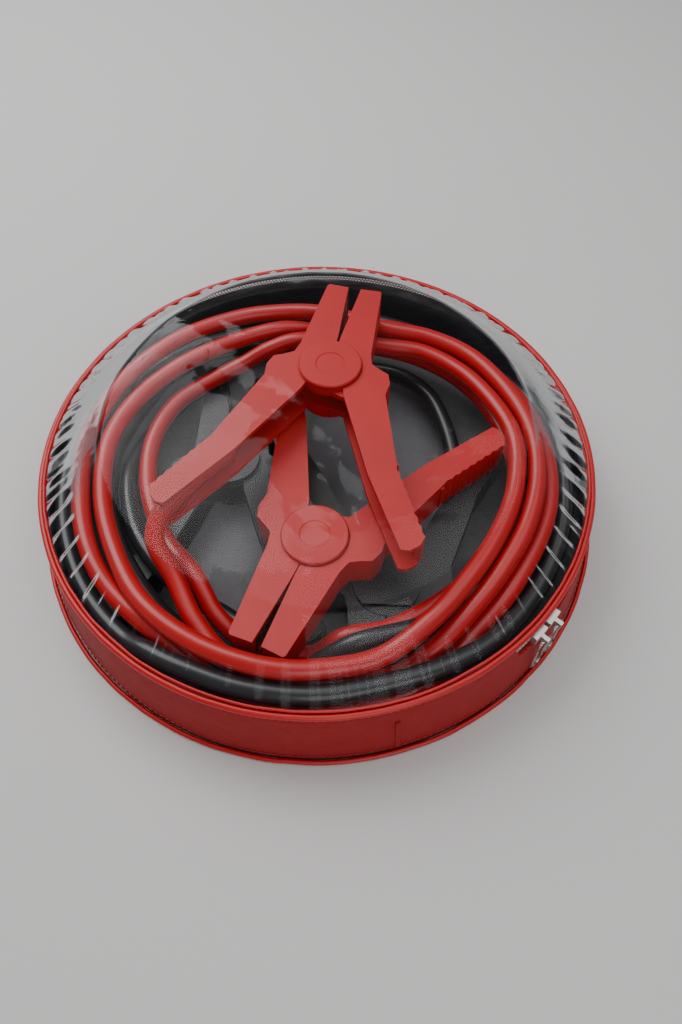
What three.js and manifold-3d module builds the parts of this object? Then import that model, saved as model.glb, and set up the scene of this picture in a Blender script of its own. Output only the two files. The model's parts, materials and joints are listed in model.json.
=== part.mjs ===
// Set of two jumper cables with four clamps, coiled in a round zip bag.
// Millimetres, +Z up, +Y away from the viewer. Origin at the middle of the bag's underside.
import * as THREE from 'three';
import { mergeVertices } from 'three/addons/utils/BufferGeometryUtils.js';
import Module from 'manifold-3d';

const wasm = await Module();
wasm.setup();

const gap = 0.3;

// bag
const baseRadius = 158.5;
const wallLean = 0.188;
const wallTop = 41.7;
const fabricThickness = 1.6;
const liningThickness = 0.8;
const liningTop = 41;
const ringSegments = 72;
const wallRadius = (z) => baseRadius - wallLean * z;

// piping
const hemRadius = 1.3;
const pipingRadius = 1.8;
const pipingRing = 151;
const pipingHeight = wallTop + gap + pipingRadius;

// zip, from its first to its last angle round the bag
const zipStart = -50;
const zipEnd = 168;
const zipRing = 151.4;
const tapeThickness = 1;
const teethThickness = 1.4;
const lowerTapeBottom = 30.2;
const lowerTapeTop = 34.7;
const teethHeight = 1.5;
const upperTapeTop = 41.7;

// slider and its pull
const sliderAngles = { slider_left: -44.5, slider_right: -40.3 };
const sliderInner = zipRing + teethThickness / 2 + 0.4;
const sliderDepth = 2.8;
const sliderWidth = 9;
const sliderBottom = 33.6;
const sliderHeight = 6.2;
const pullWire = 0.8;
const pullRound = 4;
const pullStraight = 21;
const pullHinge = 36.6;
const pullRing = sliderInner + sliderDepth + 2.3;
const pullLean = 3;

// clear window
const filmThickness = 0.8;
const filmFlat = 112;
const filmOuter = 148.6;
const filmTop = 76.4;
const filmRim = 46.2;
const foldDistance = 49;
const foldAngle = 239;

// clamps
const clampHeight = 21;
const plateThickness = 2.5;
const earRadius = 17.5;
const discProud = 2.4;
const pinRadius = 4;
const springRadius = 6.3;
const springWire = 0.8;
const springTurns = 3;
const toothCount = 9;
const gripCount = 8;

// cables
const cableDiameter = 10;
const cableSides = 8;

const radians = (degrees) => degrees * Math.PI / 180;

const material = (color, roughness, metalness = 0, opacity = 1) => new THREE.MeshStandardMaterial({
  color,
  roughness,
  metalness,
  opacity,
  transparent: opacity < 1,
});

const finishes = {
  redPlastic: () => material(0xb3141c, 0.45),
  blackPlastic: () => material(0x17181a, 0.5),
  redSheath: () => material(0xb5121d, 0.35),
  blackSheath: () => material(0x141518, 0.35),
  redFabric: () => material(0xa3121b, 0.8),
  redPiping: () => material(0xc01822, 0.4),
  blackFabric: () => material(0x1b1c20, 0.7),
  greyFabric: () => material(0x6c6d70, 0.8),
  film: () => material(0xdfe3e6, 0.12, 0, 0.25),
  steel: () => material(0xb9bcc0, 0.3, 1),
};

function mesh(name, geometry, finish) {
  const made = new THREE.Mesh(geometry, finish());
  made.name = name;
  return made;
}

// joins and cuts
function toSolid(geometry) {
  const bare = geometry.index ? geometry.toNonIndexed() : geometry.clone();
  for (const key of Object.keys(bare.attributes)) {
    if (key !== 'position') bare.deleteAttribute(key);
  }
  const joined = mergeVertices(bare, 1e-4);
  const corners = joined.index.array;
  const kept = [];
  for (let i = 0; i < corners.length; i += 3) {
    const [a, b, c] = [corners[i], corners[i + 1], corners[i + 2]];
    if (a !== b && b !== c && a !== c) kept.push(a, b, c);
  }
  return new wasm.Manifold(new wasm.Mesh({
    numProp: 3,
    vertProperties: new Float32Array(joined.attributes.position.array),
    triVerts: new Uint32Array(kept),
  }));
}

function toGeometry(solid) {
  const made = solid.getMesh();
  const geometry = new THREE.BufferGeometry();
  geometry.setAttribute('position', new THREE.BufferAttribute(new Float32Array(made.vertProperties), 3));
  geometry.setIndex(new THREE.BufferAttribute(new Uint32Array(made.triVerts), 1));
  const flat = geometry.toNonIndexed();
  flat.computeVertexNormals();
  return flat;
}

function extruded(shape, bottom, top, curveSegments = 12) {
  const geometry = new THREE.ExtrudeGeometry(shape, { depth: top - bottom, bevelEnabled: false, curveSegments });
  return geometry.translate(0, 0, bottom);
}

function polygon(points) {
  return new THREE.Shape(points.map(([x, y]) => new THREE.Vector2(x, y)));
}

function lathe(points, segments = ringSegments) {
  const profile = points.map(([r, z]) => new THREE.Vector2(r, z));
  return new THREE.LatheGeometry(profile, segments).rotateX(Math.PI / 2);
}

function closedLathe(points) {
  return lathe([...points, points[0]]);
}

function disc(radius, bottom, top, segments = 32) {
  return new THREE.CylinderGeometry(radius, radius, top - bottom, segments)
    .rotateX(Math.PI / 2)
    .translate(0, 0, (top + bottom) / 2);
}

function ringSector(inner, outer, start, end, bottom, top, curveSegments = 24) {
  const shape = new THREE.Shape();
  shape.absarc(0, 0, outer, radians(start), radians(end), false);
  shape.absarc(0, 0, inner, radians(end), radians(start), true);
  return extruded(shape, bottom, top, curveSegments);
}

class Arc extends THREE.Curve {
  constructor(ring, height, start, end) {
    super();
    Object.assign(this, { ring, height, start, end });
  }

  getPoint(t, target = new THREE.Vector3()) {
    const angle = radians(this.start + (this.end - this.start) * t);
    return target.set(this.ring * Math.cos(angle), this.ring * Math.sin(angle), this.height);
  }
}

function tube(path, radius, sides, steps) {
  const section = new THREE.Shape();
  for (let i = 0; i < sides; i += 1) {
    const angle = 2 * Math.PI * i / sides;
    const [x, y] = [radius * Math.cos(angle), radius * Math.sin(angle)];
    if (i) section.lineTo(x, y);
    else section.moveTo(x, y);
  }
  return new THREE.ExtrudeGeometry(section, { extrudePath: path, steps, bevelEnabled: false });
}

function bag() {
  const group = new THREE.Group();
  group.name = 'bag';
  const wallCut = toSolid(ringSector(140, 170, zipStart, zipEnd, lowerTapeBottom - gap, 60));
  const inner = fabricThickness;
  const wall = toSolid(closedLathe([
    [wallRadius(0) - inner, 0],
    [wallRadius(0), 0],
    [wallRadius(wallTop), wallTop],
    [wallRadius(wallTop) - inner, wallTop],
  ]));
  const liningOut = fabricThickness + gap;
  const liningIn = liningOut + liningThickness;
  const liningBottom = fabricThickness + gap;
  const lining = toSolid(closedLathe([
    [wallRadius(liningBottom) - liningIn, liningBottom],
    [wallRadius(liningBottom) - liningOut, liningBottom],
    [wallRadius(liningTop) - liningOut, liningTop],
    [wallRadius(liningTop) - liningIn, liningTop],
  ]));
  const panelRadius = wallRadius(0) - fabricThickness - gap;
  const panel = lathe([[0, 0], [panelRadius, 0], [panelRadius - 0.3, fabricThickness], [0, fabricThickness]]);
  const hemRing = baseRadius + gap + hemRadius;
  group.add(
    mesh('bottom_panel', panel, finishes.greyFabric),
    mesh('side_wall', toGeometry(wall.subtract(wallCut)), finishes.redFabric),
    mesh('lining', toGeometry(lining.subtract(wallCut)), finishes.blackFabric),
    mesh('bottom_piping', new THREE.TorusGeometry(hemRing, hemRadius, 6, ringSegments)
      .translate(0, 0, hemRadius), finishes.redPiping),
    mesh('top_piping_fixed', tube(new Arc(pipingRing, pipingHeight, zipEnd, zipStart + 360),
      pipingRadius, 8, 28), finishes.redPiping),
    mesh('top_piping_lid', tube(new Arc(pipingRing, pipingHeight, zipStart + 0.15, zipEnd - 0.15),
      pipingRadius, 8, 44), finishes.redPiping),
  );
  group.add(...zip(), ...windowFilm());
  for (const [name, angle] of Object.entries(sliderAngles)) group.add(slider(name, angle));
  return group;
}

function zip() {
  const [start, end] = [zipStart + 0.15, zipEnd - 0.15];
  const band = (name, thickness, bottom, top, finish) => mesh(name, ringSector(
    zipRing - thickness / 2, zipRing + thickness / 2, start, end, bottom, top), finish);
  const lowerTeeth = lowerTapeTop + gap;
  const upperTeeth = lowerTeeth + teethHeight + gap;
  const upperTape = upperTeeth + teethHeight + gap;
  return [
    band('zip_tape_lower', tapeThickness, lowerTapeBottom, lowerTapeTop, finishes.blackFabric),
    band('zip_teeth_lower', teethThickness, lowerTeeth, lowerTeeth + teethHeight, finishes.steel),
    band('zip_teeth_upper', teethThickness, upperTeeth, upperTeeth + teethHeight, finishes.steel),
    band('zip_tape_upper', tapeThickness, upperTape, upperTapeTop, finishes.blackFabric),
  ];
}

function windowFilm() {
  const drop = filmThickness * 1.3;
  const film = toSolid(lathe([
    [0, filmTop - filmThickness],
    [filmFlat, filmTop - filmThickness],
    [filmOuter, filmRim - drop],
    [filmOuter, filmRim],
    [filmFlat + 0.3, filmTop],
    [0, filmTop],
  ]));
  const side = (near, far) => {
    const block = new THREE.BoxGeometry(far - near, 400, 200).translate((near + far) / 2, 0, 0);
    return toSolid(block.rotateZ(radians(foldAngle)));
  };
  const fixed = film.intersect(side(foldDistance + gap / 2, 300));
  const moving = film.intersect(side(-300, foldDistance - gap / 2));
  return [
    mesh('window_film_fixed', toGeometry(fixed), finishes.film),
    mesh('window_film_lid', toGeometry(moving), finishes.film),
  ];
}

function slider(name, angle) {
  const group = new THREE.Group();
  group.name = `${name}_group`;
  group.rotation.z = radians(angle);
  const reach = THREE.MathUtils.radToDeg(sliderWidth / 2 / sliderInner);
  const outer = sliderInner + sliderDepth;
  const body = toSolid(ringSector(sliderInner, outer, -reach, reach, sliderBottom, sliderBottom + sliderHeight, 2));
  const lugLength = pullRing + 1.9 - outer + 0.4;
  const lug = new THREE.BoxGeometry(lugLength, 2.2, 4.4).translate(outer - 0.4 + lugLength / 2, 0, pullHinge);
  const hole = new THREE.CylinderGeometry(pullWire + 0.5, pullWire + 0.5, 6, 12).translate(pullRing, 0, pullHinge);
  group.add(mesh(name, toGeometry(body.add(toSolid(lug)).subtract(toSolid(hole))), finishes.steel));
  const loop = new THREE.TorusGeometry(pullRound, pullWire, 6, 20);
  const places = loop.attributes.position;
  for (let i = 0; i < places.count; i += 1) {
    if (places.getY(i) < -0.01) places.setY(i, places.getY(i) - pullStraight);
  }
  loop.translate(0, -pullRound, 0).rotateX(Math.PI / 2).rotateZ(Math.PI / 2);
  const pull = mesh(`${name}_pull`, loop, finishes.steel);
  pull.position.set(pullRing, 0, pullHinge);
  pull.rotation.y = radians(-pullLean);
  group.add(pull);
  return group;
}

// a clamp half: pivot at the origin, jaw towards +Y, handle towards -Y, drawn on the +X side
const alongHandle = (distance) => [23.2 + 0.454 * distance, -16 - 0.891 * distance];

function halfOutline() {
  const grip = [];
  const [from, to] = [[49.5, -57.5], [71, -95]];
  for (let i = 0; i <= 2 * gripCount; i += 1) {
    const t = i / (2 * gripCount);
    const out = i % 2 ? 0.9 : 0;
    grip.push([from[0] + (to[0] - from[0]) * t - 0.868 * out, from[1] + (to[1] - from[1]) * t - 0.497 * out]);
  }
  return [
    [0.3, 19], [12.3, -19], [36.5, -66.5], [61, -104.8], [65, -104.5], [69.5, -100.5], ...grip.reverse(),
    [34, -13], [34.8, -5], [32.5, 1.5], [27, 4], [22, 7], [20, 14], [15, 64], [14, 65.2], [2.4, 64.5], [0.3, 24],
  ];
}

const pocketOutline = [
  [-4, 20.5], [-4, -19], [9, -19], [33, -66.5], [57, -110], [76, -110], [68, -95], [46.4, -57.6], [31, -13.5],
  [31.9, -6], [30.6, -1], [25.8, 1.4], [19.8, 5], [17.4, 14], [11.8, 61.8], [-4, 61.8],
];

const earOutline = [
  [0.4, 18], [2, -16], [12.3, -19], [30, -13.4], [33, -6], [31, 0], [26, 2.6], [20.4, 6], [18.5, 13], [16.5, 18],
];

const mirrored = (points, side) => points.map(([x, y]) => [x * side, y]);

function clampHalf(side, nested, ribAt) {
  const block = (points, bottom, top) => toSolid(extruded(polygon(mirrored(points, side)), bottom, top));
  const round = (radius, bottom, top) => toSolid(disc(radius, bottom, top, 28));
  const [low, high] = [plateThickness, clampHeight - plateThickness];
  let half = block(halfOutline(), 0, clampHeight).subtract(block(pocketOutline, low, high));
  if (nested) {
    const [inLow, inHigh] = [low + gap, high - gap];
    half = half.add(block(earOutline, low - 0.5, inLow + plateThickness));
    half = half.add(block(earOutline, inHigh - plateThickness, high + 0.5));
    half = half.subtract(round(earRadius + 0.4, -1, inLow)).subtract(round(earRadius + 0.4, inHigh, 30));
    half = half.add(round(earRadius - 0.3, inLow, inLow + plateThickness));
    half = half.add(round(earRadius - 0.3, inHigh - plateThickness, inHigh));
  } else {
    half = half.subtract(round(earRadius + 0.1, low, high));
    half = half.add(round(earRadius, 0, low)).add(round(earRadius, high, clampHeight));
  }
  const [x, y] = alongHandle(ribAt);
  const rib = new THREE.BoxGeometry(12, 2, high - low + 1).rotateZ(radians(27)).translate(x, y, clampHeight / 2);
  if (side < 0) rib.applyMatrix4(new THREE.Matrix4().makeRotationY(Math.PI)).translate(0, 0, clampHeight);
  half = half.add(toSolid(rib));
  return toGeometry(half.subtract(round(pinRadius + gap, -2, 30)));
}

function roundCap() {
  const top = clampHeight + discProud;
  const base = clampHeight + gap;
  return lathe([
    [0, 0.1], [pinRadius, 0.1], [pinRadius, base], [earRadius, base], [earRadius, top - 0.6],
    [earRadius - 0.6, top], [8, top], [7.6, top - 0.4], [0, top - 0.4],
  ], 32);
}

function flatCap(bottom) {
  const outline = new THREE.Shape();
  const flat = 46;
  for (let i = 0; i <= 24; i += 1) {
    const angle = radians(90 + flat + (360 - 2 * flat) * i / 24);
    const [x, y] = [earRadius * Math.cos(angle), earRadius * Math.sin(angle)];
    if (i) outline.lineTo(x, y);
    else outline.moveTo(x, y);
  }
  return extruded(outline, bottom, bottom + discProud - gap);
}

class Coil extends THREE.Curve {
  getPoint(t, target = new THREE.Vector3()) {
    const reach = Math.max(0, Math.abs(t - 0.5) - 0.42) / 0.08;
    const radius = springRadius + 7 * reach * reach;
    const angle = radians(-90) + 2 * Math.PI * springTurns * (t - 0.5);
    return target.set(radius * Math.cos(angle), radius * Math.sin(angle), clampHeight / 2 + 8 * (t - 0.5));
  }
}

function jawInsert(side) {
  const points = [[4, 27], [5, 60.5]];
  for (let i = 0; i <= 2 * toothCount; i += 1) {
    const t = 1 - i / (2 * toothCount);
    points.push([0.7 + 1.7 * t + (i % 2 ? 1.2 : 0), 27 + 33.5 * t]);
  }
  return extruded(polygon(mirrored(points, side)), plateThickness + gap, clampHeight - plateThickness - gap);
}

function clamp(name, finish, { at, height, jaws, still, rest, roundUp, ribStill }) {
  const group = new THREE.Group();
  group.name = name;
  group.position.set(at[0], at[1], height);
  group.rotation.z = radians(jaws - 90);
  const moving = new THREE.Group();
  moving.name = `${name}_moving_group`;
  moving.rotation.z = radians(still < 0 ? -rest : rest);
  const top = roundCap();
  const flat = flatCap(roundUp ? -discProud : clampHeight + gap);
  if (!roundUp) top.rotateX(Math.PI).translate(0, 0, clampHeight);
  group.add(
    mesh(`${name}_handle_still`, clampHalf(still, false, ribStill), finish),
    mesh(`${name}_round_cap`, top, finish),
    mesh(`${name}_flat_cap`, flat, finish),
    mesh(`${name}_spring`, tube(new Coil(), springWire, 6, 40), finishes.steel),
    mesh(`${name}_teeth_still`, jawInsert(still), finishes.steel),
    moving,
  );
  moving.add(
    mesh(`${name}_handle_moving`, clampHalf(-still, true, 47), finish),
    mesh(`${name}_teeth_moving`, jawInsert(-still), finishes.steel),
  );
  return group;
}

const clamps = {
  red_clamp_upper: { at: [7, 36], height: 51.7, jaws: 78.5, still: -1, rest: 2.5, roundUp: true, ribStill: 47 },
  red_clamp_lower: { at: [-0.3, -59], height: 28, jaws: 246, still: 1, rest: 0, roundUp: true, ribStill: 47 },
  black_clamp_right: { at: [37, -75], height: 4.3, jaws: 267, still: -1, rest: 0, roundUp: false, ribStill: 19 },
  black_clamp_left: { at: [-52, 7], height: 4.3, jaws: 82, still: 1, rest: 12, roundUp: false, ribStill: 43 },
};

// [angle, distance from the middle, height]; four values mean a plain point
// the red cable runs from the upper red clamp round the bag to the lower one
const redRoute = [
  [-47, -16, 62.2, true], [-57, -27, 62.2, true], [-67, -39, 62.2, true], [-76, -51, 61.4, true],
  [-80, -64, 55, true], [229, 107, 43.5], [240, 117.5, 39], [250, 126.5, 37], [262, 131.3, 37.2],
  [272, 132.2, 36.6], [279, 133, 35], [288, 132.5, 32], [298, 128.5, 38.8], [308, 124, 43.2],
  [320, 121.2, 45], [335, 120.8, 46], [350, 121, 46.2], [5, 120.7, 46.4], [20, 117.5, 46.8],
  [37, 114, 47], [52, 108, 46.5], [66, 101.5, 45.9], [80, 103.5, 45.9], [92, 108, 45.6],
  [104, 112.5, 44.4], [116, 117.5, 43.4], [135, 123.5, 43.2], [155, 127.5, 43.2], [176, 130.5, 43.2],
  [196, 130.8, 43.2], [210, 133, 43], [220, 133.3, 41.5], [230, 132.4, 40], [236, 132.2, 36.6],
  [242, 133.8, 33], [250, 138, 31.5], [258, 142.6, 31.5], [270, 144, 31.5], [285, 143.8, 31],
  [296, 139.2, 30.3], [306, 132, 32.6], [320, 129.5, 37.6], [343, 129.8, 37.2], [2, 129.5, 36],
  [20, 127.5, 34.8], [40, 123, 33.6], [58, 118.5, 33.2], [70, 114.5, 33.2], [80, 107.5, 33.4],
  [88, 101, 34.6], [95, 98.4, 40], [104, 98.3, 43.4], [117, 99.8, 42.8], [140, 105.5, 42.8],
  [160, 113, 42.8], [177, 118, 42.8], [196, 119.4, 42.8], [216, 122.6, 45.6], [230, 127.4, 48.4],
  [246, 129.6, 48.8], [262, 131, 49.3], [274, 129.4, 48.4], [285, 126.9, 46.8], [298, 119.8, 50.4],
  [312, 113, 50.2], [326, 110, 48.8], [341, 109.6, 47.8], [355, 110, 47.2], [5, 109.7, 46.8],
  [16, 107.2, 45.6], [33, 103.2, 44.6], [50, 97.3, 44.2], [62, 89.5, 44.2], [75, 85.3, 44],
  [90, 84, 44.8], [101, 84.3, 45.6], [112, 85, 42], [122, 87, 36], [135, 91, 32], [153, 97.3, 31.4],
  [170, 98, 31.4], [187, 96.6, 31.4], [201, 95.5, 31.4], [214, 95.8, 31.4], [223, 95, 32.8],
  [228, 95.8, 32.6], [234, 99.5, 31], [241, 105.5, 26.6], [250, 110, 21.8], [262, 112, 21.2],
  [269.3, 112.2, 21.2], [277.6, 108.2, 32], [290, 108.8, 31.2], [308, 108.5, 31.3], [326, 110.6, 31.3],
  [343, 112.5, 31.3], [0, 112.5, 31.3], [18, 110.5, 31], [36, 108.2, 30], [54, 107, 26],
  [70, 106.5, 22], [82, 104.5, 21.2], [91, 100.5, 23.5], [-11.5, 90.5, 29, true],
  [-18.5, 80.5, 34, true], [-20.6, 69, 38.3, true], [-18.4, 57, 38.5, true], [-17, 44, 38.5, true],
  [-15, 30, 38.5, true], [-13, 16, 38.5, true],
];

// the black cable runs from the right black clamp round the bag to the left one
const blackRoute = [
  [69, -38, 14.8, true], [76, -26, 14.8, true], [80, -12, 14.8, true], [81, 4, 15.2, true],
  [16, 83, 16], [29, 87, 17], [43, 93, 17.8], [57, 95, 17], [72, 95.2, 12.5], [85, 97, 10],
  [98, 102, 12.5], [109, 108, 20], [120, 111.5, 27], [134, 113.5, 30.4], [152, 114.8, 31],
  [175, 117.6, 31.2], [184, 118.3, 31.2], [196, 118.6, 31.2], [208, 119, 31.3], [223, 120.4, 31.2],
  [231, 121.2, 27], [242, 121, 21.6], [262, 122.9, 20.8], [267, 122.5, 22.6], [271, 119.6, 29.6],
  [279.5, 116, 41.2], [291, 115.9, 41], [300, 118, 36.8], [307, 119.4, 33], [320, 121, 26.5],
  [340, 122.3, 21], [0, 122.5, 19.5], [20, 121.5, 19], [45, 120, 19], [70, 118, 20], [95, 118, 20.5],
  [115, 123, 22], [135, 127.5, 26], [160, 129.5, 30], [182, 130, 31.2], [205, 130.2, 31.2],
  [218, 130.6, 31.4], [226, 131.4, 31], [234, 132, 26.5], [240, 132.4, 22.5], [250, 133, 20.5],
  [262, 133.6, 22], [270, 130.2, 24.4], [274, 126, 28], [276.4, 123.2, 32.7], [285, 121.2, 31.5],
  [292, 121.2, 31.2], [299, 122.6, 30.4], [309, 126.5, 22.5], [325, 131, 19], [345, 133.6, 18.8],
  [10, 133.6, 18.8], [40, 134, 19], [70, 132, 20], [95, 131, 20], [115, 136, 22], [140, 140, 26],
  [165, 142, 30], [188, 142.3, 33], [205, 143, 33.4], [218, 143.6, 33.6], [230, 143.4, 36],
  [236, 142.2, 41], [242, 141.4, 43], [256, 140.8, 43.6], [270, 140.3, 43.4], [285, 138.8, 42.4],
  [298, 140.3, 41], [310, 141, 37], [326, 139.7, 32.6], [343, 139.8, 31.2], [2, 141, 29.5],
  [12, 143.6, 24], [20, 144.6, 19], [30, 144.8, 13.5], [42, 143, 9], [60, 139, 7.6], [80, 133, 7.6],
  [100, 125.5, 7.6], [116, 118, 7.6], [131, 112.5, 7.8], [146, 108.5, 10], [161, 107, 17],
  [173, 107, 23.5], [184, 107.8, 29.5], [196, 107.6, 31.4], [208, 107.4, 31.7], [222, 106, 31.2],
  [231, 103.6, 21.5], [239, 99.4, 14], [-38, -92.5, 13, true], [-25.5, -91.5, 13.6, true],
  [-17.5, -82.5, 14.6, true], [-16, -70, 14.8, true], [-20, -57.5, 14.8, true],
];

function cable(name, route, steps, finish) {
  const points = route.map((stop) => {
    if (stop.length === 4) return new THREE.Vector3(stop[0], stop[1], stop[2]);
    const [angle, ring, height] = stop;
    return new THREE.Vector3(ring * Math.cos(radians(angle)), ring * Math.sin(radians(angle)), height);
  });
  const path = new THREE.CatmullRomCurve3(points, false, 'centripetal');
  path.arcLengthDivisions = 2000;
  return mesh(name, tube(path, cableDiameter / 2, cableSides, steps), finish);
}

const set = new THREE.Group();
set.name = 'jumper_cable_set';
set.add(bag());
for (const [name, values] of Object.entries(clamps)) {
  set.add(clamp(name, name.startsWith('red') ? finishes.redPlastic : finishes.blackPlastic, values));
}
set.add(
  cable('red_cable', redRoute, 150, finishes.redSheath),
  cable('black_cable', blackRoute, 160, finishes.blackSheath),
);

export default set;
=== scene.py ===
import json
import math
import bpy
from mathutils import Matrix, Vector, noise


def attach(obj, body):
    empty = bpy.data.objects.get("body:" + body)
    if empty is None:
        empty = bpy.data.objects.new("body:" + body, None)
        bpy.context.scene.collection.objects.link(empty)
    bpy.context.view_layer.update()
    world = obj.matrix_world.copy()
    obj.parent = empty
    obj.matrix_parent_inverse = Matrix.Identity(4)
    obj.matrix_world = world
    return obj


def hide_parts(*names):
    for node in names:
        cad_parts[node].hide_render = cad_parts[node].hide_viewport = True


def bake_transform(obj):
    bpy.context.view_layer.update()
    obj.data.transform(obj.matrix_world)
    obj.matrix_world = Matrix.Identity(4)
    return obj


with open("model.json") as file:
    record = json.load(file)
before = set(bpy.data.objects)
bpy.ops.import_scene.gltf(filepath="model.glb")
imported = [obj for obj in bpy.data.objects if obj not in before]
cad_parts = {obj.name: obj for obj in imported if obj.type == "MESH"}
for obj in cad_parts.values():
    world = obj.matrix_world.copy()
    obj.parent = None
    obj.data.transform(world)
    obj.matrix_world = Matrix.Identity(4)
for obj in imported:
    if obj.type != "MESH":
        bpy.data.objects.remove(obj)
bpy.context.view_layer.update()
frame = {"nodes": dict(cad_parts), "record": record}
cadNodes = frame["nodes"]
mm = 0.001

# shader helper


class Wire:
    def __init__(self, tree, socket):
        self.tree = tree
        self.socket = socket

    def maths(self, operation, other=None, swapped=False):
        values = [self, other] if other is not None else [self]
        if swapped:
            values.reverse()
        return self.tree.node("ShaderNodeMath", {"operation": operation}, dict(enumerate(values)))

    def __add__(self, other):
        return self.maths("ADD", other)

    def __radd__(self, other):
        return self.maths("ADD", other, True)

    def __sub__(self, other):
        return self.maths("SUBTRACT", other)

    def __rsub__(self, other):
        return self.maths("SUBTRACT", other, True)

    def __mul__(self, other):
        return self.maths("MULTIPLY", other)

    def __rmul__(self, other):
        return self.maths("MULTIPLY", other, True)

    def __pow__(self, other):
        return self.maths("POWER", other)


class Finish:
    def __init__(self, name):
        self.material = bpy.data.materials.new(name)
        self.material.use_nodes = True
        self.nodes = self.material.node_tree.nodes
        self.links = self.material.node_tree.links
        self.nodes.clear()
        self.output = self.nodes.new("ShaderNodeOutputMaterial")

    def put(self, socket, value):
        if isinstance(value, Wire):
            self.links.new(value.socket, socket)
        else:
            socket.default_value = value

    def node(self, kind, settings=None, inputs=None, out=0):
        made = self.nodes.new(kind)
        for key, value in (settings or {}).items():
            if key == "stops":
                ramp = made.color_ramp
                for element, (place, colour) in zip(ramp.elements, value):
                    element.position = place
                    element.color = colour
            else:
                setattr(made, key, value)
        for key, value in (inputs or {}).items():
            self.put(made.inputs[key], value)
        return Wire(self, made.outputs[out])

    def place(self, kind="Object"):
        return self.node("ShaderNodeTexCoord", out=kind)

    def cloud(self, scale, detail=3.0, where=None, rough=0.55):
        return self.node("ShaderNodeTexNoise", None, {
            "Vector": where or self.place(), "Scale": scale, "Detail": detail, "Roughness": rough})

    def blendColours(self, share, first, second):
        made = self.nodes.new("ShaderNodeMix")
        made.data_type = "RGBA"
        self.put(made.inputs[0], share)
        self.put(made.inputs[6], first)
        self.put(made.inputs[7], second)
        return Wire(self, made.outputs[2])

    def bump(self, height, strength, distance, under=None):
        inputs = {"Height": height, "Strength": strength, "Distance": distance}
        if under:
            inputs["Normal"] = under
        return self.node("ShaderNodeBump", None, inputs)

    def surface(self, **values):
        shader = self.nodes.new("ShaderNodeBsdfPrincipled")
        for key, value in values.items():
            self.put(shader.inputs[key.replace("_", " ")], value)
        return shader

    def done(self, shader):
        self.links.new(shader.outputs[0], self.output.inputs[0])
        return self.material


def moulded(name, light, dark, roughness):
    f = Finish(name)
    patches = f.cloud(38.0, 4.0)
    grain = f.cloud(2600.0, 2.0)
    marks = f.cloud(210.0, 6.0, rough=0.7)
    colour = f.blendColours(patches, (*dark, 1), (*light, 1))
    relief = f.bump(grain, 0.18, 0.0002, f.bump(marks, 0.08, 0.0005))
    return f.done(f.surface(Base_Color=colour, Roughness=roughness - 0.08 + marks * 0.2, Normal=relief))


def sheath(name, light, dark, roughness):
    f = Finish(name)
    dentsAndPaintedShade = f.cloud(24.0, 5.0)
    fine = f.cloud(900.0, 2.0)
    # the colour is painted darker where the broad dent bump sits low, a painted shade in the shallow dents
    colour = f.blendColours(dentsAndPaintedShade, (*dark, 1), (*light, 1))
    relief = f.bump(fine, 0.07, 0.0003, f.bump(dentsAndPaintedShade, 0.25, 0.001))
    return f.done(f.surface(Base_Color=colour, Roughness=roughness - 0.05 + dentsAndPaintedShade * 0.16,
                            Normal=relief, Coat_Weight=0.15))


def woven(name, light, dark, threads, depth, roughness, sheen=0.3, creases=0.4):
    f = Finish(name)
    flat = f.place("UV")
    across = f.node("ShaderNodeTexWave", {"bands_direction": "X"}, {"Vector": flat, "Scale": threads})
    along = f.node("ShaderNodeTexWave", {"bands_direction": "Y"}, {"Vector": flat, "Scale": threads})
    weave = f.node("ShaderNodeMath", {"operation": "MAXIMUM"}, {0: across, 1: along})
    foldsAndPaintedShade = f.cloud(30.0, 6.0, rough=0.62)
    fine = f.cloud(140.0, 5.0)
    # the colour follows the weave pattern and is painted darker in the fold hollows, a painted shade of the
    # creases
    shade = weave * 0.45 + foldsAndPaintedShade * 0.55
    colour = f.blendColours(shade, (*dark, 1), (*light, 1))
    relief = f.bump(weave, 0.35, depth, f.bump(foldsAndPaintedShade + fine * 0.35, creases, 0.003))
    return f.done(f.surface(Base_Color=colour, Roughness=roughness - 0.1 + fine * 0.2, Normal=relief,
                            Sheen_Weight=sheen, Specular_IOR_Level=0.25))


def crinkled(name, light, dark, roughness, depth):
    f = Finish(name)
    ridges = f.node("ShaderNodeTexVoronoi", {"feature": "DISTANCE_TO_EDGE"}, {
        "Vector": f.place(), "Scale": 46.0})
    soft = f.cloud(55.0, 6.0, rough=0.65)
    fine = f.cloud(300.0, 4.0)
    relief = f.bump(ridges * 0.6 + soft, 0.8, depth, f.bump(fine, 0.3, 0.0006))
    # the colour is painted darker in the soft crinkle hollows, a painted shade that follows the crinkle relief
    colour = f.blendColours(soft, (*dark, 1), (*light, 1))
    return f.done(f.surface(Base_Color=colour, Roughness=roughness - 0.1 + soft * 0.25, Normal=relief))


def clearFilm(name):
    f = Finish(name)
    haze = f.cloud(14.0, 5.0)
    wrinkles = f.cloud(34.0, 3.0)
    relief = f.bump(wrinkles, 0.35, 0.002)
    shine = f.surface(Base_Color=(0.9, 0.92, 0.95, 1), Metallic=1.0, Roughness=0.05, Normal=relief)
    through = f.nodes.new("ShaderNodeBsdfTransparent")
    edge = f.node("ShaderNodeFresnel", None, {"IOR": 1.16, "Normal": relief})
    mixed = f.nodes.new("ShaderNodeMixShader")
    f.put(mixed.inputs[0], edge * 0.6 + haze * 0.012)
    f.links.new(through.outputs[0], mixed.inputs[1])
    f.links.new(shine.outputs[0], mixed.inputs[2])
    return f.done(mixed)


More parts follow.
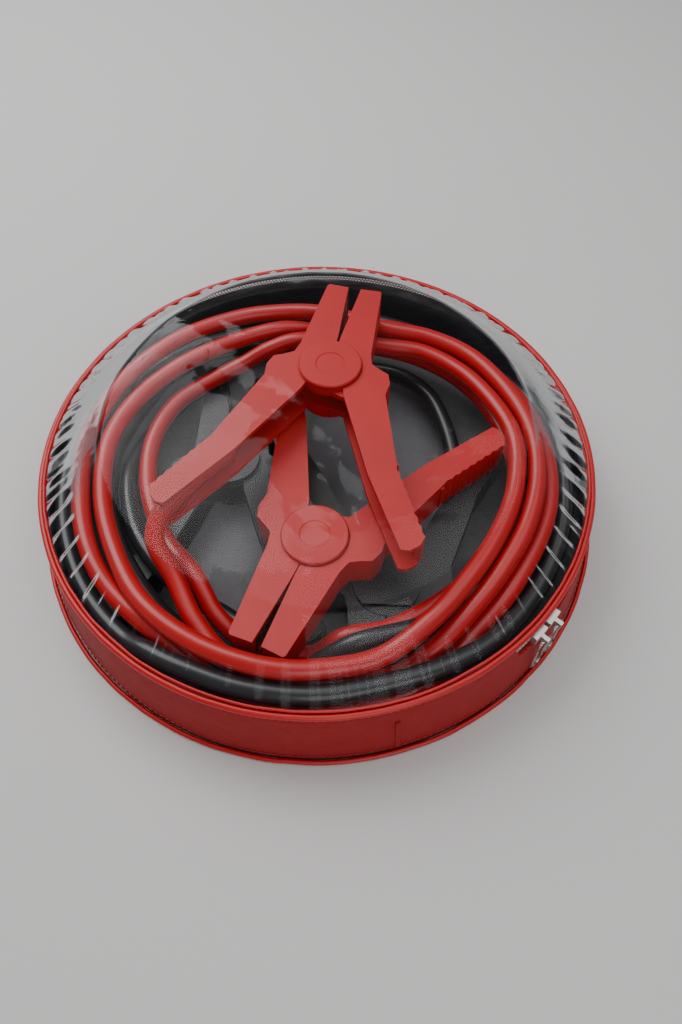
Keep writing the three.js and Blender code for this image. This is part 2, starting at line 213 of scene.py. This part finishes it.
def plated(name, colour, roughness):
    f = Finish(name)
    stains = f.cloud(160.0, 5.0)
    tone = f.blendColours(stains, (*[c * 0.72 for c in colour], 1), (*colour, 1))
    relief = f.bump(f.cloud(1500.0, 3.0), 0.1, 0.0002)
    return f.done(f.surface(Base_Color=tone, Metallic=0.95, Roughness=roughness - 0.08 + stains * 0.2,
                            Normal=relief))


finishes = {
    "red_plastic": moulded("redPlastic", (0.52, 0.004, 0.005), (0.38, 0.002, 0.003), 0.46),
    "black_plastic": moulded("blackPlastic", (0.022, 0.023, 0.026), (0.011, 0.011, 0.013), 0.44),
    "red_sheath": sheath("redSheath", (0.50, 0.003, 0.006), (0.36, 0.002, 0.004), 0.34),
    "black_sheath": sheath("blackSheath", (0.018, 0.019, 0.022), (0.009, 0.009, 0.011), 0.34),
    "red_fabric": woven("redFabric", (0.40, 0.002, 0.004), (0.22, 0.001, 0.002), 520.0, 0.0004, 0.68, 0.06),
    "red_piping": moulded("redPiping", (0.54, 0.004, 0.006), (0.40, 0.002, 0.004), 0.34),
    "black_fabric": crinkled("blackLining", (0.026, 0.028, 0.036), (0.010, 0.010, 0.013), 0.46, 0.004),
    "grey_fabric": crinkled("greyBottom", (0.21, 0.21, 0.22), (0.12, 0.12, 0.13), 0.66, 0.003),
    "clear_film": clearFilm("clearFilm"),
    "steel": plated("platedSteel", (0.66, 0.65, 0.63), 0.32),
}
tapeCloth = woven("zipTape", (0.03, 0.03, 0.034), (0.012, 0.012, 0.014), 900.0, 0.0003, 0.7, 0.2, 0.15)
print("finishes made")

# camera, floor and lights

camera = {"lens": 26.0, "at": (0.013, -0.2514, 0.3736), "tilt": 32.5}
cameraData = bpy.data.cameras.new("camera")
cameraData.sensor_fit = "VERTICAL"
cameraData.sensor_height = 36.0
cameraData.lens = camera["lens"]
cameraData.clip_start = 0.01
cameraObject = bpy.data.objects.new("camera", cameraData)
cameraObject.location = camera["at"]
cameraObject.rotation_euler = (math.radians(camera["tilt"]), 0, 0)
bpy.context.collection.objects.link(cameraObject)
bpy.context.scene.camera = cameraObject

studio = {
    "window": {"at": (-0.55, 0.55, 0.95), "size": 0.9, "power": 12.0},
    "ceiling": {"at": (0.35, 0.15, 1.2), "size": 1.1, "power": 6.0},
    "front": {"at": (0.3, -1.1, 0.7), "size": 0.8, "power": 5.0},
}
for lampName, lamp in studio.items():
    lampData = bpy.data.lights.new(lampName, "AREA")
    lampData.size = lamp["size"]
    lampData.energy = lamp["power"]
    lampObject = bpy.data.objects.new(lampName, lampData)
    lampObject.location = lamp["at"]
    lampObject.rotation_euler = (Vector((0, 0, 0.03)) - Vector(lamp["at"])).to_track_quat("-Z", "Y").to_euler()
    bpy.context.collection.objects.link(lampObject)
world = bpy.data.worlds.new("room")
world.use_nodes = True
world.node_tree.nodes["Background"].inputs[0].default_value = (0.92, 0.93, 0.95, 1)
world.node_tree.nodes["Background"].inputs[1].default_value = 0.22
bpy.context.scene.world = world


def addMesh(name, points, faces, finish, flatPlaces=None, smooth=True):
    data = bpy.data.meshes.new(name)
    data.from_pydata(points, [], faces)
    if flatPlaces:
        layer = data.uv_layers.new(name="flat")
        for loop in data.loops:
            layer.data[loop.index].uv = flatPlaces[loop.vertex_index]
    for face in data.polygons:
        face.use_smooth = smooth
    data.update()
    made = bpy.data.objects.new(name, data)
    made.data.materials.append(finish)
    bpy.context.collection.objects.link(made)
    return made


floorFinish = Finish("floor")
floorMaterial = floorFinish.done(floorFinish.surface(Base_Color=(0.62, 0.61, 0.6, 1), Roughness=0.8))
floor = addMesh("floor", [(-3, -3, 0), (3, -3, 0), (3, 3, 0), (-3, 3, 0)], [(0, 1, 2, 3)], floorMaterial)
floor.location.z = -0.0002
print("camera and studio made")

# cables

cable = {"thickness": 10.0, "between": 9}
# angle, distance from the middle and height; four values are a plain point
redRoute = [
    (-47, -16, 62.2, 0), (-57, -27, 62.2, 0), (-67, -39, 62.2, 0), (-76, -51, 61.4, 0),
    (-80, -64, 55, 0), (229, 107, 43.5), (240, 117.5, 39), (250, 126.5, 37), (262, 131.3, 37.2),
    (272, 132.2, 36.6), (279, 133, 35), (288, 132.5, 32), (298, 128.5, 38.8), (308, 124, 43.2),
    (320, 121.2, 45), (335, 120.8, 46), (350, 121, 46.2), (5, 120.7, 46.4), (20, 117.5, 46.8),
    (37, 114, 47), (52, 108, 46.5), (66, 101.5, 45.9), (80, 103.5, 45.9), (92, 108, 45.6),
    (104, 112.5, 44.4), (116, 117.5, 43.4), (135, 123.5, 43.2), (155, 127.5, 43.2), (176, 130.5, 43.2),
    (196, 130.8, 43.2), (210, 133, 43), (220, 133.3, 41.5), (230, 132.4, 40), (236, 132.2, 36.6),
    (242, 133.8, 33), (250, 138, 31.5), (258, 142.6, 31.5), (270, 144, 31.5), (285, 143.8, 31),
    (296, 139.2, 30.3), (306, 132, 32.6), (320, 129.5, 37.6), (343, 129.8, 37.2), (2, 129.5, 36),
    (20, 127.5, 34.8), (40, 123, 33.6), (58, 118.5, 33.2), (70, 114.5, 33.2), (80, 107.5, 33.4),
    (88, 101, 34.6), (95, 98.4, 40), (104, 98.3, 43.4), (117, 99.8, 42.8), (140, 105.5, 42.8),
    (160, 113, 42.8), (177, 118, 42.8), (196, 119.4, 42.8), (216, 122.6, 45.6), (230, 127.4, 48.4),
    (246, 129.6, 48.8), (262, 131, 49.3), (274, 129.4, 48.4), (285, 126.9, 46.8), (298, 119.8, 50.4),
    (312, 113, 50.2), (326, 110, 48.8), (341, 109.6, 47.8), (355, 110, 47.2), (5, 109.7, 46.8),
    (16, 107.2, 45.6), (33, 103.2, 44.6), (50, 97.3, 44.2), (62, 89.5, 44.2), (75, 85.3, 44),
    (90, 84, 44.8), (101, 84.3, 45.6), (112, 85, 42), (122, 87, 36), (135, 91, 32), (153, 97.3, 31.4),
    (170, 98, 31.4), (187, 96.6, 31.4), (201, 95.5, 31.4), (214, 95.8, 31.4), (223, 95, 32.8),
    (228, 95.8, 32.6), (234, 99.5, 31), (241, 105.5, 26.6), (250, 110, 21.8), (262, 112, 21.2),
    (269.3, 112.2, 21.2), (277.6, 108.2, 32), (290, 108.8, 31.2), (308, 108.5, 31.3),
    (326, 110.6, 31.3), (343, 112.5, 31.3), (0, 112.5, 31.3), (18, 110.5, 31), (36, 108.2, 30),
    (54, 107, 26), (70, 106.5, 22), (82, 104.5, 21.2), (91, 100.5, 23.5), (-11.5, 90.5, 29, 0),
    (-18.5, 80.5, 34, 0), (-20.6, 69, 38.3, 0), (-18.4, 57, 38.5, 0), (-17, 44, 38.5, 0),
    (-15, 30, 38.5, 0), (-13, 16, 38.5, 0),
]
blackRoute = [
    (69, -38, 14.8, 0), (76, -26, 14.8, 0), (80, -12, 14.8, 0), (81, 4, 15.2, 0), (16, 83, 16),
    (29, 87, 17), (43, 93, 17.8), (57, 95, 17), (72, 95.2, 12.5), (85, 97, 10), (98, 102, 12.5),
    (109, 108, 20), (120, 111.5, 27), (134, 113.5, 30.4), (152, 114.8, 31), (175, 117.6, 31.2),
    (184, 118.3, 31.2), (196, 118.6, 31.2), (208, 119, 31.3), (223, 120.4, 31.2), (231, 121.2, 27),
    (242, 121, 21.6), (262, 122.9, 20.8), (267, 122.5, 22.6), (271, 119.6, 29.6), (279.5, 116, 41.2),
    (291, 115.9, 41), (300, 118, 36.8), (307, 119.4, 33), (320, 121, 26.5), (340, 122.3, 21),
    (0, 122.5, 19.5), (20, 121.5, 19), (45, 120, 19), (70, 118, 20), (95, 118, 20.5), (115, 123, 22),
    (135, 127.5, 26), (160, 129.5, 30), (182, 130, 31.2), (205, 130.2, 31.2), (218, 130.6, 31.4),
    (226, 131.4, 31), (234, 132, 26.5), (240, 132.4, 22.5), (250, 133, 20.5), (262, 133.6, 22),
    (270, 130.2, 24.4), (274, 126, 28), (276.4, 123.2, 32.7), (285, 121.2, 31.5), (292, 121.2, 31.2),
    (299, 122.6, 30.4), (309, 126.5, 22.5), (325, 131, 19), (345, 133.6, 18.8), (10, 133.6, 18.8),
    (40, 134, 19), (70, 132, 20), (95, 131, 20), (115, 136, 22), (140, 140, 26), (165, 142, 30),
    (188, 142.3, 33), (205, 143, 33.4), (218, 143.6, 33.6), (230, 143.4, 36), (236, 142.2, 41),
    (242, 141.4, 43), (256, 140.8, 43.6), (270, 140.3, 43.4), (285, 138.8, 42.4), (298, 140.3, 41),
    (310, 141, 37), (326, 139.7, 32.6), (343, 139.8, 31.2), (2, 141, 29.5), (12, 143.6, 24),
    (20, 144.6, 19), (30, 144.8, 13.5), (42, 143, 9), (60, 139, 7.6), (80, 133, 7.6), (100, 125.5, 7.6),
    (116, 118, 7.6), (131, 112.5, 7.8), (146, 108.5, 10), (161, 107, 17), (173, 107, 23.5),
    (184, 107.8, 29.5), (196, 107.6, 31.4), (208, 107.4, 31.7), (222, 106, 31.2), (231, 103.6, 21.5),
    (239, 99.4, 14), (-38, -92.5, 13, 0), (-25.5, -91.5, 13.6, 0), (-17.5, -82.5, 14.6, 0),
    (-16, -70, 14.8, 0), (-20, -57.5, 14.8, 0),
]


def smoothRoute(stops):
    places = []
    for stop in stops:
        if len(stop) == 4:
            places.append(Vector(stop[:3]))
        else:
            turn = math.radians(stop[0])
            places.append(Vector((stop[1] * math.cos(turn), stop[1] * math.sin(turn), stop[2])))
    line = [2 * places[0] - places[1], *places, 2 * places[-1] - places[-2]]
    route = []
    for i in range(1, len(line) - 2):
        four = line[i - 1:i + 3]
        knots = [0.0]
        for a, b in zip(four, four[1:]):
            knots.append(knots[-1] + (b - a).length ** 0.5)
        for step in range(cable["between"]):
            t = knots[1] + (knots[2] - knots[1]) * step / cable["between"]
            level = four
            for reach in (1, 2, 3):
                if reach == 3:
                    low, high = 1, 2
                    level = [level[0].lerp(level[1], (t - knots[low]) / (knots[high] - knots[low]))]
                else:
                    level = [level[k].lerp(level[k + 1], (t - knots[k]) / (knots[k + reach] - knots[k]))
                             for k in range(len(level) - 1)]
            route.append(level[0] * mm)
    route.append(places[-1] * mm)
    return route


def layCable(name, stops, slotName, node):
    route = smoothRoute(stops)
    line = bpy.data.curves.new(name, "CURVE")
    line.dimensions = "3D"
    spline = line.splines.new("POLY")
    spline.points.add(len(route) - 1)
    for point, place in zip(spline.points, route):
        point.co = (*place, 1)
    line.bevel_depth = cable["thickness"] / 2 * mm
    line.bevel_resolution = 5
    line.use_fill_caps = True
    line.materials.append(finishes[slotName])
    made = bpy.data.objects.new(name, line)
    bpy.context.collection.objects.link(made)
    reach = sum((b - a).length for a, b in zip(route, route[1:]))
    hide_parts(node)
    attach(made, "bag")


layCable("redCable", redRoute, "red_sheath", "red_cable")
layCable("blackCable", blackRoute, "black_sheath", "black_cable")
print("cables laid")

# bag

bag = {
    "base": 158.5, "lean": 0.188, "top": 41.7, "cloth": 1.6, "zipFrom": -50.0, "zipTo": 168.0, "zipFloor": 29.9,
    "ripple": 0.55, "around": 360,
}


def wallAt(z):
    return bag["base"] - bag["lean"] * z


def inZip(angle):
    return (angle - bag["zipFrom"]) % 360 < bag["zipTo"] - bag["zipFrom"]


def ring(name, finish, section, around=360, closed=True, start=0.0, end=360.0, smooth=True):
    points, flat, faces = [], [], []
    whole = end - start >= 360
    count = around if whole else around + 1
    for i in range(count):
        angle = start + (end - start) * i / around
        turn = math.radians(angle)
        row = section(angle)
        for k, (r, z) in enumerate(row):
            points.append((r * math.cos(turn) * mm, r * math.sin(turn) * mm, z * mm))
            flat.append((turn * 0.15, (z + 2.2 * k) * mm))
    size = len(row)
    for i in range(around):
        j = (i + 1) % count
        for k in range(size if closed else size - 1):
            m = (k + 1) % size
            faces.append((i * size + k, j * size + k, j * size + m, i * size + m))
    if closed and not whole:
        faces.append(tuple(range(size - 1, -1, -1)))
        faces.append(tuple((count - 1) * size + k for k in range(size)))
    return addMesh(name, points, faces, finish, flat, smooth)


def ripple(angle, z, scale, seed):
    turn = math.radians(angle)
    return noise.fractal(Vector((math.cos(turn) * scale, math.sin(turn) * scale, z * 0.06 + seed)), 0.9, 2.1, 3)


def wallSection(angle):
    edge = min((angle - bag["zipFrom"]) % 360, (bag["zipTo"] - angle) % 360)
    top = bag["zipFloor"] if inZip(angle) and edge > 0.4 else bag["top"]
    steps = 8
    outer, inner = [], []
    for k in range(steps + 1):
        z = 0.2 + (top - 0.2) * k / steps
        swell = bag["ripple"] * math.sin(math.pi * min(1, z / 42)) * (ripple(angle, z, 5, 1) + 0.25)
        outer.append((wallAt(z) + max(-0.5, swell), z))
        inner.append((wallAt(z) - bag["cloth"] + 0.1, z))
    return outer + inner[::-1]


wall = ring("sideWall", finishes["red_fabric"], wallSection)
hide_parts("side_wall")
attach(wall, "bag")


seams = {"angles": (285.0, 150.0), "wide": 0.45, "proud": 0.5, "stitch": 3.4}


def seamSection(angle):
    row = [(wallAt(z) + 0.35 + seams["proud"] * (0.6 + 0.4 * math.sin(z * 1.9)), z) for z in range(3, 29)]
    return row + [(wallAt(z) - 0.4, z) for r, z in row[::-1]]


for number, angle in enumerate(seams["angles"]):
    seam = ring("wallSeam_%d" % number, finishes["red_fabric"], seamSection, 4, True,
                angle - seams["wide"], angle + seams["wide"])
    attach(seam, "bag")


def stitchRow(name, height, start, end, proud):
    points, faces = [], []
    count = int(math.radians(end - start) * wallAt(height) / seams["stitch"])
    for i in range(count):
        turn = math.radians(start + (end - start) * (i + 0.5) / count)
        base = len(points)
        for along, out in ((-1.1, 0.0), (-0.5, 0.45), (0.5, 0.45), (1.1, 0.0)):
            for rise in (-0.28, 0.28):
                r = wallAt(height) + proud + out
                here = turn + along / r
                points.append((r * math.cos(here) * mm, r * math.sin(here) * mm, (height + rise) * mm))
        for k in (0, 2, 4):
            faces.append((base + k, base + k + 2, base + k + 3, base + k + 1))
        faces.append((base + 1, base + 7, base + 6, base))
        faces.append((base, base + 6, base + 4, base + 2))
        faces.append((base + 1, base + 3, base + 5, base + 7))
    made = addMesh(name, points, faces, finishes["red_piping"], smooth=False)
    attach(made, "bag")


stitchRow("stitchesLow", 4.4, 0, 360, 0.25)
stitchRow("stitchesHigh", 39.6, 169, 309, 0.2)
stitchRow("stitchesUnderZip", 28.3, -49, 167, 0.35)


def liningSection(angle):
    top = bag["zipFloor"] if inZip(angle) else 41.0
    row = []
    for k in range(11):
        z = 1.9 + (top - 1.9) * k / 10
        inward = 0.45 * (ripple(angle, z * 2, 14, 4) + 0.5) * (0.3 + 0.7 * math.sin(math.pi * k / 10))
        row.append((wallAt(z) - 2.35 - max(0, min(0.8, inward)), z))
    return row + [(wallAt(z) - 2.0, z) for r, z in row[::-1]]


lining = ring("lining", finishes["black_fabric"], liningSection)
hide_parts("lining")
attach(lining, "bag")


def panelSection(angle):
    row = []
    for k in range(1, 30):
        r = 156.4 * k / 29
        turn = math.radians(angle)
        crease = noise.fractal(Vector((r * math.cos(turn), r * math.sin(turn), 3)) * 0.045, 0.8, 2.2, 4)
        row.append((r, 1.45 + 0.14 * max(-1, min(1, crease))))
    return row + [(156.4, 0.0), (2.0, 0.0)]


panel = ring("bottomPanel", finishes["grey_fabric"], panelSection, 180)
cap = addMesh("bottomPanelMiddle", [(5.5 * mm * math.cos(k / 8 * math.pi), 5.5 * mm * math.sin(k / 8 * math.pi),
                                     1.5 * mm) for k in range(16)], [tuple(range(16))], finishes["grey_fabric"])
cap.parent = panel
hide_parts("bottom_panel")
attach(panel, "bag")


def roundSection(ringRadius, height, radius, sides=12, wobble=0.0, seed=0):
    def section(angle):
        shift = wobble * ripple(angle, 0, 9, seed)
        row = []
        for k in range(sides):
            turn = 2 * math.pi * k / sides
            row.append((ringRadius + shift + radius * math.cos(turn), height + radius * math.sin(turn)))
        return row
    return section


hem = ring("bottomHem", finishes["red_piping"], roundSection(160.1, 1.35, 1.3, wobble=0.3))
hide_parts("bottom_piping")
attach(hem, "bag")


def bendAtFold(piece):
    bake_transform(piece)


piping = ring("topPiping", finishes["red_piping"], roundSection(151.0, 43.8, 1.75, wobble=0.2, seed=2))
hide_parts("top_piping_fixed", "top_piping_lid")
bendAtFold(piping)
flange = ring("pipingFlange", finishes["red_piping"], roundSection(148.9, 46.0, 0.75, 8, 0.3, 5))
bendAtFold(flange)


def filmSection(angle):
    row = []
    pleat = math.sin(math.radians(angle) * 74 + 2.2 * ripple(angle, 0, 6, 7))
    pleat += 0.6 * math.sin(math.radians(angle) * 131 + 3.1 * ripple(angle, 0, 8, 8))
    for k in range(1, 57):
        r = 148.4 * (k / 56) ** 0.72
        z = 76.0 if r < 112 else 45.8 + (148.4 - r) * 0.826
        turn = math.radians(angle)
        near = max(0.0, (r - 132) / 16.4)
        fade = math.sin(math.pi * min(1, near)) if near < 1 else 0
        wide = noise.fractal(Vector((r * math.cos(turn), r * math.sin(turn), 11)) * 0.02, 0.9, 2, 3)
        z += 1.15 * fade * pleat + 0.8 * wide * (1 - near)
        shoulder = math.exp(-((r - 112) / 9) ** 2)
        row.append((r, z - 1.6 * shoulder))
    return row


film = ring("windowFilm", finishes["clear_film"], filmSection, 540, closed=False)
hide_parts("window_film_fixed", "window_film_lid")
bendAtFold(film)
print("bag made")

# zip

zipper = {"ring": 151.4, "pitch": 2.1, "rows": {"lower": (35.0, 36.9, "bag"), "upper": (36.7, 38.4, "lid")},
          "tapes": {"lower": (30.0, 35.2, "bag"), "upper": (38.2, 42.3, "lid")}}


def tapeSection(low, high):
    def section(angle):
        row = []
        for k in range(5):
            z = low + (high - low) * k / 4
            row.append((zipper["ring"] + 0.45 + 0.12 * ripple(angle, z, 20, 6), z))
        return row + [(r - 0.8, z) for r, z in row[::-1]]
    return section


def toothRow(name, low, high, shift):
    points, faces = [], []
    span = math.radians(bag["zipTo"] - bag["zipFrom"])
    count = int(span * zipper["ring"] / zipper["pitch"])
    for i in range(count):
        turn = math.radians(bag["zipFrom"]) + span * (i + 0.3 + shift) / count
        base = len(points)
        for radius, height, wide in ((0.6, low, 0.55), (0.95, (low + high) / 2, 0.7), (0.6, high, 0.45)):
            for side, out in ((-1, -1), (1, -1), (1, 1), (-1, 1)):
                here = turn + side * wide / zipper["ring"]
                r = zipper["ring"] + out * radius
                points.append((r * math.cos(here) * mm, r * math.sin(here) * mm, height * mm))
        for level in (0, 4):
            for k in range(4):
                m = (k + 1) % 4
                faces.append((base + level + k, base + level + m, base + level + 4 + m, base + level + 4 + k))
        faces.append((base + 3, base + 2, base + 1, base))
        faces.append((base + 8, base + 9, base + 10, base + 11))
    return addMesh(name, points, faces, finishes["steel"], smooth=False)


for rowName, (low, high, body) in zipper["tapes"].items():
    tape = ring("zipTape_" + rowName, tapeCloth, tapeSection(low, high), 240, True,
                bag["zipFrom"] + 0.2, bag["zipTo"] - 0.2)
    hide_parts("zip_tape_" + rowName)
    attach(tape, body)
for rowName, (low, high, body) in zipper["rows"].items():
    teeth = toothRow("zipTeeth_" + rowName, low, high, 0.5 if rowName == "upper" else 0.0)
    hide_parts("zip_teeth_" + rowName)
    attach(teeth, body)
print("zip made")

# clamps, sliders and pulls keep their own solids

edges = {"clamp": 0.8, "metal": 0.25}
slots = {part["node"]: part["material_slot"] for part in frame["record"]["subparts"]}
for nodeName, node in cadNodes.items():
    slotName = slots[nodeName]
    if slotName not in ("red_plastic", "black_plastic", "steel") or nodeName.startswith("zip_teeth"):
        continue
    node.data.materials.clear()
    node.data.materials.append(finishes[slotName])
    if nodeName.endswith(("_spring", "_pull")):
        soft = node.modifiers.new("rounded", "SUBSURF")
        soft.levels = soft.render_levels = 1
        continue
    rounded = node.modifiers.new("roundedEdges", "BEVEL")
    rounded.width = edges["metal" if slotName == "steel" else "clamp"] * mm
    rounded.segments = 3
    rounded.limit_method = "ANGLE"
    rounded.angle_limit = math.radians(40)
    rounded.harden_normals = True
print("clamps finished")
